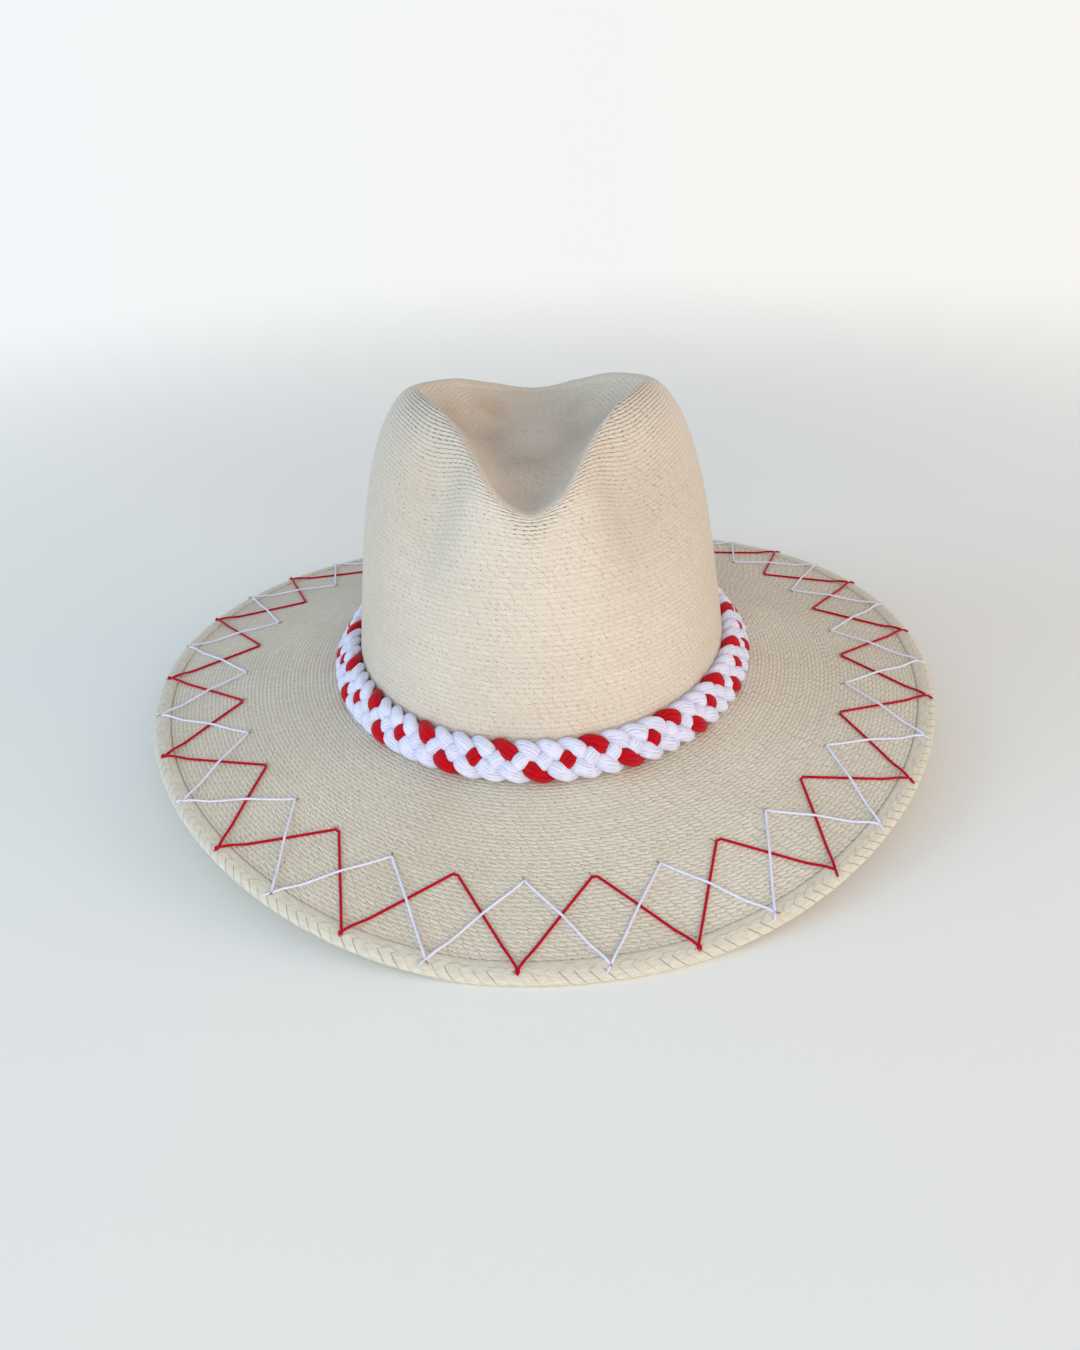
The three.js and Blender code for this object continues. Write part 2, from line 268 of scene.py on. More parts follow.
def look_up(table, column, angle):
    """Column of a table at an angle, by the cubic that passes through its rows with their mean slopes."""
    at, value = table["angle"], table[column]
    slope = np.gradient(value, at)
    slope[0] = slope[-1] = 0
    i = np.clip(np.searchsorted(at, angle) - 1, 0, len(at) - 2)
    span = at[i + 1] - at[i]
    return cubic(value[i], value[i + 1], span * slope[i], span * slope[i + 1], (angle - at[i]) / span)


def smooth_step(value, low, high):
    """0 below low, 1 above high, and the smooth curve 3u^2 - 2u^3 between them."""
    u = np.clip((value - low) / (high - low), 0, 1)
    return u * u * (3 - 2 * u)


def dome_share(height):
    """Width of the dome as a share of its foot: a straight taper times a superellipse in the height."""
    return (1 - DOME_TAPER * height) * np.maximum(1 - height ** WALL_FULLNESS, 0) ** (1 / SHOULDER_FULLNESS)


def creased(x, y, z):
    """Point of the dome after the dent, which is the rounded lower of two heights, and the two pinches,
    each a bell-shaped push inwards."""
    top = z - BACK_DROP * smooth_step(y, *BACK_DROP_SPAN) * (z / DOME_HEIGHT) ** 2
    angle = np.degrees(np.arctan2(np.abs(x), -y))
    share = np.hypot(x, y) / look_up(DENT_RIM, "reach", angle)
    climb = np.maximum((share - DENT_FLOOR_SHARE) / (1 - DENT_FLOOR_SHARE), 0) ** DENT_SIDE_CURVE
    outwards = smooth_step(share, 0, DENT_FLOOR_SHARE)
    rounding = between(DENT_FLOOR_ROUND, look_up(DENT_RIM, "round", angle), outwards)
    lip = ((y - LIP_HOLLOW["y"]) / LIP_HOLLOW["half_length"]) ** 2 + (x / LIP_HOLLOW["half_width"]) ** 2
    floor = between(DENT_FLOOR, look_up(DENT_RIM, "rim", angle), climb)
    floor = floor - LIP_HOLLOW["depth"] * np.exp(-lip) + DENT_CLIMB * np.maximum(share - 1, 0)
    height = 0.5 * (top + floor - np.hypot(top - floor, rounding))
    point = np.stack([x, y, height], -1)
    for side in (-1, 1):
        inward = np.array([-side * PINCH["x"] / CROWN_HALF_WIDTH**2, -PINCH["y"] / CROWN_HALF_LENGTH**2])
        inward = unit(inward)
        along = side * ((x - side * PINCH["x"]) * inward[1] - (y - PINCH["y"]) * inward[0])
        above = top - PINCH["z"]
        spread = (along / np.where(along > 0, PINCH["outer"], PINCH["inner"])) ** 2
        fade = (above / np.where(above > 0, PINCH["above"], PINCH["below"])) ** 2
        push = PINCH["depth"] * np.exp(-spread - fade) * (x * inward[0] + y * inward[1] < 0)
        point = point + push[..., None] * np.array([inward[0], inward[1], -PINCH["sink"]])
    return point


def crown_point(around, height):
    """Outside of the crown, by the angle round it and the share of the dome's height."""
    share = dome_share(height)
    x = CROWN_HALF_WIDTH * share * np.cos(around)
    y = CROWN_HALF_LENGTH * share * np.sin(around)
    return creased(x, y, DOME_HEIGHT * height)


def grid_normals(points):
    """Outward directions on a grid of points that closes round the hat: the cross product of the step to
    the next column and the step to the next row up."""
    sideways = np.roll(points, -1, axis=1) - np.roll(points, 1, axis=1)
    return unit(np.cross(sideways, np.gradient(points, axis=0)))


# %% [markdown]
# ## Rows of braid
# Every round of the spiral is one row of braid, about 2 mm wide on the wall and 1.65 mm where the crown's
# top is creased. The mesh follows the rows: three rings of points to a row, the first one in the seam
# between two rows, pressed in a little, and the others on the row's back. So the rows are real relief,
# and the pattern coordinates can simply count them. A table of distances up the dome's outline says how
# high each row lies. The seams are deepest beside the front rim of the dent, where the straw is bent
# most. The pinches and the rim drag the rows down a little, so that they sag in the hollows and bunch
# below the lip. Each point also keeps three shares for the shader: how near it is to that rim, how far
# inside the dent, and how deep in a pinch hollow it lies. The shader paints shade with all three: into
# the seams near the rim, over the dent and over the two pinch hollows.

# %% Crown rows
WALL_ROW_WIDTH = 2.05
TOP_ROW_WIDTH = 1.65
ROW_CHANGE = (88, 108)
ROW_STEPS = np.array([0, 0.26, 0.66])
ROW_RELIEF = np.array([-0.5, 0.2, 0.3])
ROW_DEPTH = {"plain": 0.05, "creased": 0.55}
CREASE_REACH = {"front": 7, "side": 24, "from": 8, "to": 30}
CREASE_BELOW_RIM = (-4, 1)
CREASE_ANGLES = (85, 50)
HOLLOW_SPAN = (0, 14)
ROW_DRAG = {"depth": 5.1, "angle": 37, "half_angle": 11, "distance": 106, "half_distance": 27}
RIM_DRAG = {"depth": 3, "half_angle": 40, "inside": 4, "below": 15.6, "above": 26}
# Spot over the two pinch hollows where the shader paints shade.
PINCH_SHADE_SPOT = {"angle": 42, "half_angle": 19, "distance": 98, "half_distance": 27}
CROWN_COLUMNS = 256
FRONT_GATHER = 0.35
INSIDE_RINGS = 48
INSIDE_TOP_ROW = 0.4

outline_height = np.sin(np.linspace(0, TURN / 4, 4001)) ** (2 / WALL_FULLNESS)
outline_width = np.sqrt(CROWN_HALF_WIDTH * CROWN_HALF_LENGTH) * dome_share(outline_height)
outline_step = np.hypot(np.diff(outline_width), DOME_HEIGHT * np.diff(outline_height))
outline_length = running_sum(outline_step)
top_share = smooth_step(outline_length, *ROW_CHANGE)
outline_row_width = between(WALL_ROW_WIDTH, TOP_ROW_WIDTH, top_share)
outline_rows = running_sum(np.diff(outline_length) / outline_row_width[1:])
CROWN_ROWS = int(outline_rows[-1])
print(CROWN_ROWS, "rows on the crown")


def spot_share(angle, distance, spot):
    """1 in the middle of a spot on the crown, falling off about it as a bell."""
    sideways = ((angle - spot["angle"]) / spot["half_angle"]) ** 2
    upwards = ((distance - spot["distance"]) / spot["half_distance"]) ** 2
    return np.exp(-sideways - upwards)


def row_surface(around, rows, out):
    """Surface through the given rows: each row's distance up the outline, less the two drags, gives its
    height, and out moves the surface along its own direction. Also returns three shares: how near each
    point lies to the rim of the dent on its outside, how far inside the dent, and how deep in a pinch
    hollow it lies. The shader paints shade with all three."""
    turn, distance = np.meshgrid(around, np.interp(rows, outline_rows, outline_length))
    x, y = CROWN_HALF_WIDTH * np.cos(turn), CROWN_HALF_LENGTH * np.sin(turn)
    angle = np.degrees(np.arctan2(np.abs(x), -y))
    rim_share = look_up(DENT_RIM, "reach", angle) / np.hypot(x, y)
    rim_width = np.sqrt(CROWN_HALF_WIDTH * CROWN_HALF_LENGTH) * rim_share
    rim = np.interp(-rim_width, -outline_width, outline_length)
    past = distance - rim - RIM_DRAG["inside"]
    past = (past / np.where(past < 0, RIM_DRAG["below"], RIM_DRAG["above"])) ** 2
    rim_pull = RIM_DRAG["depth"] * np.exp(-past - (angle / RIM_DRAG["half_angle"]) ** 2)
    distance = distance - ROW_DRAG["depth"] * spot_share(angle, distance, ROW_DRAG) - rim_pull
    below_rim = rim - distance
    points = crown_point(turn, np.interp(distance, outline_length, outline_height))
    turned = smooth_step(angle, CREASE_REACH["from"], CREASE_REACH["to"])
    reach = between(CREASE_REACH["front"], CREASE_REACH["side"], turned)
    near = np.exp(-((below_rim / reach) ** 2)) * smooth_step(below_rim, *CREASE_BELOW_RIM)
    near = near * smooth_step(angle, *CREASE_ANGLES)
    depth = between(ROW_DEPTH["plain"], ROW_DEPTH["creased"], near)
    lift = np.reshape(out, (-1, 1)) * (depth if np.ndim(out) else 1)
    points = points + lift[..., None] * grid_normals(points)
    # Share of painted shade over the pinch hollows.
    pinch_shade = spot_share(angle, distance, PINCH_SHADE_SPOT)
    return points, near, smooth_step(-below_rim, *HOLLOW_SPAN), pinch_shade


def make_crown():
    """Straw shell: rings of the inside from its top down to the foot, then the rows of the outside up
    again. The three shares of row_surface go along as attributes, for the shader."""
    around = around_with(CROWN_COLUMNS, FRONT_GATHER)
    foot = BRIM_THICKNESS / 2 + SEAM_GAP
    foot_row = np.interp(foot / DOME_HEIGHT, outline_height, outline_rows)
    rows = (np.arange(CROWN_ROWS)[:, None] + ROW_STEPS).ravel()
    steps = np.tile(ROW_RELIEF, CROWN_ROWS)[rows > foot_row]
    rows = np.append(foot_row, rows[rows > foot_row])
    inner_rows = np.linspace(foot_row, CROWN_ROWS - INSIDE_TOP_ROW, INSIDE_RINGS)
    outside, *shares = row_surface(around[:-1], rows, np.append(0, steps))
    inside = row_surface(around[:-1], inner_rows, -STRAW_WALL)[0]
    inside[0, :, 2] = outside[0, :, 2] = foot
    top = creased(np.array(0.0), np.array(0.0), np.array(float(DOME_HEIGHT)))
    numbers = np.concatenate([inner_rows[::-1], rows])
    sizes = dome_share(np.interp(numbers, outline_rows, outline_height))
    pattern = braid_pattern(around, numbers, sizes, CROWN_HALF_WIDTH, CROWN_HALF_LENGTH)
    points = np.concatenate([inside[::-1], outside])
    poles = np.stack([top - (0, 0, STRAW_WALL), top])
    piece = ring_piece("straw_crown", points, pattern, "palm_straw", "crown", poles=poles)
    for name, share, at_pole in zip(("crease", "hollow", "pinch_shade"), shares, (0, 1, 0)):
        values = np.concatenate([np.zeros(inside.shape[0] * CROWN_COLUMNS), share.ravel(), [0, at_pole]])
        piece.data.attributes.new(name, "FLOAT", "POINT").data.foreach_set("value", values)
    return piece


straw_crown = make_crown()

# %% [markdown]
# ## The brim
# The brim leaves the crown level and rolls down towards the front and back, where it rests, while its
# sides stay up. Its edge is an oval, and the height of that oval is a sum of a few waves round the hat. A
# point further in takes a share of that height, to a power a little over one, so that the brim is gently
# hollow. Its rows are narrower, 1.72 mm, and the mesh follows them as on the crown.

# %% Brim formula
EDGE_MEAN = -14.3
EDGE_DIP = 10.3
EDGE_TWIST = 1.8
EDGE_SIDE_LEAN = -1
EDGE_LENGTHWISE = -0.73
EDGE_SQUARENESS = -0.45
BRIM_CURVE = 1.168
BRIM_WIDTH = BRIM_HALF_WIDTH - CROWN_HALF_WIDTH


def edge_height(around):
    """Height of the brim's edge: a sum of waves round the hat, and level where the hat rests on it."""
    wave = EDGE_MEAN + EDGE_DIP * np.cos(2 * around) + EDGE_TWIST * np.sin(2 * around)
    wave = wave + EDGE_SIDE_LEAN * np.cos(around) + EDGE_SQUARENESS * np.cos(4 * around)
    wave = wave + EDGE_LENGTHWISE * (np.sin(around) + np.sin(3 * around))
    return np.maximum(wave, EDGE_AT_REST)


def brim_point(around, inset, rise=0.0):
    """Middle of the brim's thickness, by the angle round it and the distance in from its edge."""
    share = np.clip(1 - inset / BRIM_WIDTH, 0, 1)
    x = (BRIM_HALF_WIDTH - inset) * np.cos(around)
    y = (BRIM_HALF_LENGTH - inset) * np.sin(around)
    return np.stack(np.broadcast_arrays(x, y, edge_height(around) * share**BRIM_CURVE + rise), -1)


# %% Brim rows
BRIM_ROW_WIDTH = 1.72
BRIM_COLUMNS = 480
BRIM_INNER_INSET = BRIM_WIDTH + STRAW_WALL
BINDING_WIDTH = 7
BRIM_STEPS = np.array([0, 0.3, 0.66])
BRIM_RELIEF = np.array([-0.12, 0.04, 0.06])


def make_brim():
    """Straw sheet: the rows of the upper side from the edge inwards, then those of the lower side
    outwards."""
    around = around_with(BRIM_COLUMNS)
    count = int((BRIM_INNER_INSET - BINDING_WIDTH) / BRIM_ROW_WIDTH)
    rows = (np.arange(count)[:, None] + BRIM_STEPS).ravel()
    relief = np.tile(BRIM_RELIEF, count)

    def side(rows, rise):
        """Points of one side: the inset of each row, so far above the middle of the thickness."""
        turn, inset = np.meshgrid(around[:-1], BINDING_WIDTH + SEAM_GAP + rows * BRIM_ROW_WIDTH)
        return brim_point(turn, np.minimum(inset, BRIM_INNER_INSET), rise[:, None])

    lower = slice(None, None, 3)
    upper_side = side(rows, BRIM_THICKNESS / 2 + relief)
    lower_side = side(rows[lower], -BRIM_THICKNESS / 2 - relief[lower])
    points = np.concatenate([lower_side[::-1], upper_side])
    numbers = np.concatenate([rows[lower][::-1], rows, rows[lower][-1:]])
    sizes = 1 - (BINDING_WIDTH + numbers * BRIM_ROW_WIDTH) / np.sqrt(BRIM_HALF_WIDTH * BRIM_HALF_LENGTH)
    pattern = braid_pattern(around, numbers, sizes, BRIM_HALF_WIDTH, BRIM_HALF_LENGTH)
    return ring_piece("straw_brim", points, pattern, "palm_straw", "brim")


straw_brim = make_brim()

# %% [markdown]
# ## The edge binding
# A wider plait of smooth palm strips is folded round the raw edge of the brim and sewn down. Its section
# is a flat loop: a thin lip on the brim, a gently crowned top, the rounded edge and the underside that
# the hat stands on. The loop is a short table, and the smooth closed curve through its points is carried
# once round the edge.

# %% Edge binding
BINDING_SECTION = np.array(
    [(7.2, 1.0, 0), (6.9, 1.55, 0), (6, 1.85, 0), (4.4, 2, 0), (2.9, 1.9, 0), (1.7, 1.65, 0.2),
     (0.8, 1.2, 0.6), (0.1, 0.4, 1), (0, -0.3, 1), (0.35, -1.1, 1), (1.2, -1.6, 1), (2.8, -1.65, 0.9),
     (4.2, -1.65, 0.4), (5.4, -1.6, 0), (6.4, -1.5, 0), (7, -1.3, 0), (7.25, -0.5, 0), (7.3, 0.3, 0)],
    dtype=[("inset", float), ("rise", float), ("level", float)],
)
BINDING_ROWS = 48


def closed_curve(values, count):
    """Smooth closed curve through a table's values, by cubics whose slopes are those of the neighbours."""
    place = np.linspace(0, len(values), count, endpoint=False)
    here = place.astype(int)
    there = (here + 1) % len(values)
    slope = 0.5 * (np.roll(values, -1) - np.roll(values, 1))
    return cubic(values[here], values[there], slope[here], slope[there], place - here)


def make_binding():
    """Folded plait: the section's inset and rise at each row, with the height of the edge itself near the
    fold."""
    around = around_with(BRIM_COLUMNS)
    columns = ("inset", "rise", "level")
    inset, rise, level = (closed_curve(BINDING_SECTION[name], BINDING_ROWS) for name in columns)
    inset = np.maximum(inset, 0)
    turn, inset_grid = np.meshgrid(around[:-1], inset)
    points = brim_point(turn, inset_grid)
    points[..., 2] += level[:, None] * (edge_height(turn) - points[..., 2]) + rise[:, None]
    length = from_front(around, BRIM_HALF_WIDTH, BRIM_HALF_LENGTH)
    run = running_sum(np.hypot(np.diff(inset), np.diff(rise)))
    run = np.append(run, run[-1] + np.hypot(inset[0] - inset[-1], rise[0] - rise[-1]))
    pattern = np.stack(np.meshgrid(length, run), -1)
    return ring_piece("palm_binding", points[::-1], pattern[::-1], "binding_straw", "edge_binding")


palm_binding = make_binding()

# %% [markdown]
# ## The plaited band
# Four plump cotton cords, three white and one red, make a flat plait. Each cord swings from one edge of
# the band to the other and back. It goes over, under and over the cords that it meets on the way down,
# and under, over and under on the way up. One repeat is a table of eight steps: the share of the swing
# across, the lift at the crossing, and how wide and how thick the soft cord is there, because it spreads
# where it lies on top and is squeezed below. A closed curve through the table gives the path, and a
# rounded section is carried along it.

# %% Band formula
BAND_OUT = 5.2
BAND_UP = 8
BAND_TILT = np.radians(31)
PLAIT_REPEATS = 18
PLAIT_START = 0.546
PLAIT_DRIFT = 0.116
PLAIT_SWAY = 0.117
PLAIT_SWING = 5.1
PLAIT_LIFT = 2.1
PLAIT_REPEAT = np.array(
    [(1, 0, 2.8, 2.2), (0.63, 1, 3.2, 2.3), (0, -1, 2.6, 2.1), (-0.63, 1, 3.2, 2.3),
     (-1, 0, 2.8, 2.2), (-0.63, -1, 2.6, 2.1), (0, 1, 3.2, 2.3), (0.63, -1, 2.6, 2.1)],
    dtype=[("across", float), ("lift", float), ("wide", float), ("thick", float)],
)
BAND_RADIUS = (CROWN_HALF_WIDTH + CROWN_HALF_LENGTH) / 2 + BAND_OUT
CORD_STEPS = 40
CORD_SIDES = 36
CORD_SQUARENESS = 2.4
PLAIT_ROUNDS = 30


def band_point(angle, across, lift):
    """Point of the band by the angle from the front, the way up its sloping face and the lift off that
    face."""
    out = BAND_OUT - np.sin(BAND_TILT) * across + np.cos(BAND_TILT) * lift
    height = BAND_UP + np.cos(BAND_TILT) * across + np.sin(BAND_TILT) * lift
    share = 1 - DOME_TAPER * height / DOME_HEIGHT
    cos, sin = np.cos(angle + FRONT), np.sin(angle + FRONT)
    normal = unit(np.stack([cos / CROWN_HALF_WIDTH, sin / CROWN_HALF_LENGTH, 0 * cos], -1))
    wall = np.stack([CROWN_HALF_WIDTH * share * cos, CROWN_HALF_LENGTH * share * sin, height], -1)
    return wall + out[..., None] * normal


def plait_angle(repeats):
    """Angle at which the plait has made so many repeats, found by repeating the same correction."""
    angle = np.zeros_like(repeats)
    for _ in range(PLAIT_ROUNDS):
        drift = PLAIT_DRIFT * np.sin(angle) + PLAIT_SWAY * np.sin(2 * angle)
        angle = (repeats + PLAIT_START + drift) / PLAIT_REPEATS * TURN
    return angle


def plump(value):
    """Sine or cosine with fuller shoulders: its size to the power two over the squareness, with its sign."""
    return np.sign(value) * np.abs(value) ** (2 / CORD_SQUARENESS)


def across_path(ahead, behind, sides):
    """Two directions square to a path at each point, the first of them level, from the points ahead and
    behind, and the angles round a section there."""
    forward = unit(ahead - behind)
    level = unit(np.cross([0, 0, 1.0], forward))
    turn = np.linspace(0, TURN, sides, endpoint=False)[:, None, None]
    return level, np.cross(forward, level), turn


def round_path(name, points, steps, slot, *nodes):
    """Piece from the sections along a closed path, whose steps give the length in the pattern."""
    run = running_sum(np.linalg.norm(steps, axis=-1))
    pattern = np.stack(np.meshgrid(run, np.linspace(0, 1, len(points) + 1)), -1)
    return ring_piece(name, points[::-1], pattern[::-1], slot, *nodes)


def make_cord(name, place, slot, node):
    """One cord: its path in a flattened band, a section that stands square to the path, bent round the
    crown."""
    count = PLAIT_REPEATS * CORD_STEPS
    repeats = np.arange(count) / CORD_STEPS - place / 4
    columns = {column: np.tile(closed_curve(PLAIT_REPEAT[column], CORD_STEPS), PLAIT_REPEATS)
               for column in PLAIT_REPEAT.dtype.names}
    along = plait_angle(repeats) * BAND_RADIUS
    path = np.stack([along, columns["across"] * PLAIT_SWING, columns["lift"] * PLAIT_LIFT], -1)
    whole = np.array([TURN * BAND_RADIUS, 0, 0])
    ahead = np.vstack([path[1:], path[:1] + whole])
    behind = np.vstack([path[-1:] - whole, path[:-1]])
    across, outwards, turn = across_path(ahead, behind, CORD_SIDES)
    section = (plump(np.cos(turn)) * columns["wide"][:, None] * across
               + plump(np.sin(turn)) * columns["thick"][:, None] * outwards)
    local = path + section
    points = band_point(local[..., 0] / BAND_RADIUS, local[..., 1], local[..., 2])
    return round_path(name, points, ahead - path, slot, node)


cords = [make_cord("plait_cord_red", 0, "red_cotton", "band_cord_red")]
for place in (1, 2, 3):
    cords.append(make_cord(f"plait_cord_white_{place}", place, "white_cotton", f"band_cord_white_{place}"))

# %% [markdown]
# ## The laced threads
# A red and a white thread are laced round the brim in straight stitches from holes near the edge to holes
# 38 mm in and back. Each has eighteen points outside and eighteen inside, and the two are half a step
# apart, so they cross twice in every step. A thread is a thin tube whose path is worked out in two parts:
# where it lies seen from above, which is a straight line between holes, and how high, which is the brim's
# surface there plus the thread's radius. It sinks into the straw at the outer holes, and the white one is
# lifted where it crosses the red. At the inner holes the red thread makes a short straight stitch along
# the row. The threads' knots and short ends, and the splinters of straw at the holes, are small spindles
# that lie on the brim. All spindles of a kind make one piece.

# %% Thread formula
OUTER_HOLE_INSET = 3.5
INNER_HOLE_INSET = 37.6
HOLES = 18
FIRST_RED_HOLE = -7.9
SIDE_DRIFT = 2.7
BACK_DRIFT = 17.6
FACING_SHIFT = 0.6
THREAD_RADIUS = {"red": 0.52, "white": 0.46}
INNER_STITCH = {"red": 1.9, "white": 0.5}
THREAD_STEPS = 40
INNER_STEPS = 4
THREAD_SIDES = 10
HOLE_DIP = {"depth": 0.7, "reach": 0.7}
BINDING_STEP = {"lift": 0.85, "from": 6, "to": -1}
OVAL_ROUNDS = 40
OVAL_DAMPING = 0.9
CROSSING_LIFT = 0.8
CROSSING_REACH = 9
HOLE_LINE = (BRIM_HALF_WIDTH - OUTER_HOLE_INSET, BRIM_HALF_LENGTH - OUTER_HOLE_INSET)
HOLE_STEP = 2 * from_front(BACK + TURN, *HOLE_LINE) / HOLES


def hole_angles(first):
    """Angles of one thread's outer holes. They are spaced evenly, with one of them so many millimetres
    from the front. Then a sine wave draws those at the sides towards the front, and one minus a cosine
    moves them towards the wearer's right, most of all at the back."""
    fine = np.linspace(BACK, BACK + TURN, FINE_STEPS + 1)
    run = from_front(fine, *HOLE_LINE)
    distance = first + HOLE_STEP * (np.arange(HOLES) - HOLES // 2)
    distance = (distance - run[0]) % (run[-1] - run[0]) + run[0]
    turn = TURN * distance / (run[-1] - run[0])
    distance = distance - SIDE_DRIFT * np.sin(turn) - BACK_DRIFT * (1 - np.cos(turn)) / 2
    return np.sort(np.interp(distance, run, fine))


def brim_top(x, y):
    """Height of the brim's upper side over a point seen from above. The inset there comes from a few
    rounds of shrinking the oval until it passes through the point. The binding stands a little higher."""
    inset = np.zeros_like(x)
    for _ in range(OVAL_ROUNDS):
        level = np.hypot(x / (BRIM_HALF_WIDTH - inset), y / (BRIM_HALF_LENGTH - inset))
        mean_half = 0.5 * (BRIM_HALF_WIDTH + BRIM_HALF_LENGTH)
        inset = inset + OVAL_DAMPING * (1 - level) * (mean_half - inset)
    around = np.arctan2(y / (BRIM_HALF_LENGTH - inset), x / (BRIM_HALF_WIDTH - inset))
    binding = smooth_step(inset, BINDING_WIDTH + BINDING_STEP["from"], BINDING_WIDTH + BINDING_STEP["to"])
    return brim_point(around, inset)[..., 2] + BRIM_THICKNESS / 2 + BINDING_STEP["lift"] * binding


def zigzag_holes(colour):
    """Holes of one thread in turn, seen from above: an outer one, and the two ends of an inner stitch.
    The inner ones face the outer holes of the other thread."""
    red = hole_angles(FIRST_RED_HOLE)
    white = hole_angles(FIRST_RED_HOLE + HOLE_STEP / 2)
    next_white = np.append(white[1:], white[0] + TURN)
    outer, inner = (red, next_white) if colour == "red" else (white, red)
    stitch = INNER_STITCH[colour] / (BRIM_HALF_WIDTH - INNER_HOLE_INSET) / 2
    middle = inner + FACING_SHIFT / BRIM_HALF_WIDTH
    points = [brim_point(outer, OUTER_HOLE_INSET), brim_point(middle - stitch, INNER_HOLE_INSET),
              brim_point(middle + stitch, INNER_HOLE_INSET)]
    return np.stack(points, 1)[..., :2]


def thread_path(colour):
    """Path seen from above in short steps between the holes, and the depth to which it sinks at outer
    holes."""
    holes = zigzag_holes(colour)
    outer, inner_first, inner_last = holes[:, 0], holes[:, 1], holes[:, 2]
    share = np.linspace(0, 1, THREAD_STEPS, endpoint=False)[:, None]
    short = np.linspace(0, 1, INNER_STEPS, endpoint=False)[:, None]
    legs = [(outer, inner_first, share), (inner_first, inner_last, short),
            (inner_last, np.roll(outer, -1, axis=0), share)]
    plan = np.concatenate([start[:, None] * (1 - u) + end[:, None] * u for start, end, u in legs], 1)
    plan = plan.reshape(-1, 2)
    from_hole = np.linalg.norm(plan[:, None] - outer, axis=-1).min(1)
    return plan, HOLE_DIP["depth"] * np.exp(-((from_hole / HOLE_DIP["reach"]) ** 2))


def flat_cross(a, b):
    """Upright part of the cross product of two level vectors."""
    return a[..., 0] * b[..., 1] - a[..., 1] * b[..., 0]


def crossings():
    """Points where the two threads cross, seen from above: each pair of stitches solved as two lines."""
    stitches = []
    for colour in ("red", "white"):
        holes = zigzag_holes(colour)
        back = np.stack([holes[:, 2], np.roll(holes[:, 0], -1, axis=0)], 1)
        stitches.append(np.concatenate([holes[:, :2], back]))
    red, white = stitches
    start, step = red[:, None, 0], red[:, None, 1] - red[:, None, 0]
    other, other_step = white[None, :, 0], white[None, :, 1] - white[None, :, 0]
    share = flat_cross(other - start, other_step) / flat_cross(step, other_step)
    other_share = flat_cross(other - start, step) / flat_cross(step, other_step)
    meet = (share > 0) & (share < 1) & (other_share > 0) & (other_share < 1)
    return (start + share[..., None] * step)[meet]


crossing_points = crossings()
print(f"outer holes every {HOLE_STEP / 2:.2f} mm, {len(crossing_points)} crossings")

# %% Threads and their knots
SPINDLE_SEAT = 0.55
SPINDLE_BACK = 0.5
KNOT = {"length": 2.4, "radius": 0.95, "fullness": 0.7, "rings": 10, "sides": 12}
TAIL = {"length": 3.6, "fullness": 0.25}
TAIL_FROM = {"red": (60, 100), "white": (-260, -220)}
SPLINTERS = {"seed": 7, "each": 2, "spread": 0.9, "length": (1.4, 3.6), "radius": (0.18, 0.3),
             "rise": (0.1, 0.9), "fullness": 0.8, "rings": 5, "sides": 5}


def make_thread(colour, slot):
    """Laced thread: a thin tube along the path over the straw, with a circle square to the path at each
    point."""
    plan, sunk = thread_path(colour)
    height = brim_top(plan[:, 0], plan[:, 1]) + THREAD_RADIUS[colour] - sunk
    if colour == "white":
        apart = np.linalg.norm(plan[:, None] - crossing_points, axis=-1).min(1)
        height = height + CROSSING_LIFT * np.exp(-((apart / CROSSING_REACH) ** 2))
    path = np.column_stack([plan, height])
    ahead, behind = np.roll(path, -1, axis=0), np.roll(path, 1, axis=0)
    level, upright, turn = across_path(ahead, behind, THREAD_SIDES)
    points = path + THREAD_RADIUS[colour] * (np.cos(turn) * level + np.sin(turn) * upright)
    return round_path(f"laced_thread_{colour}", points, ahead - path, slot)


def spindles(name, start, along, length, radius, fullness, rise, rings, sides, slot):
    """Many small round ends that lie on the brim, each from its start along its own direction. The girth
    is half a sine wave to a power: the lower the power, the fuller the ends. rise lifts the far end."""
    share = (np.arange(rings) + 0.5) / rings
    turn = np.linspace(0, TURN, sides, endpoint=False)
    girth = np.sin(share * TURN / 2) ** fullness[:, None] * radius[:, None]
    plan = start[:, None] + (share * length[:, None] - SPINDLE_BACK)[..., None] * along[:, None]
    height = brim_top(plan[..., 0], plan[..., 1]) + SPINDLE_SEAT * girth + share * rise[:, None]
    across = np.stack([-along[:, 1], along[:, 0]], -1)[:, None, None]
    swing = girth[..., None, None] * np.cos(turn)[:, None] * across
    level = np.broadcast_to(height[..., None, None], swing.shape[:-1] + (1,))
    points = np.concatenate([plan[:, :, None] + swing, level], -1)
    points[..., 2] += girth[..., None] * np.sin(turn)
    one = ring_faces(rings, sides, closed=False)[0]
    first = (np.arange(len(start)) * rings * sides)[:, None]
    faces = (one + first[..., None])[..., ::-1].reshape(-1, 4).tolist()
    cap = first + np.arange(sides)
    faces += cap.tolist() + (cap + (rings - 1) * sides)[:, ::-1].tolist()
    loops = np.concatenate(faces)
    pattern = np.stack([(loops // sides % rings) * 0.3, loops % sides / sides], -1)
    return put_in_scene(name, points.reshape(-1, 3), faces, pattern, slot)


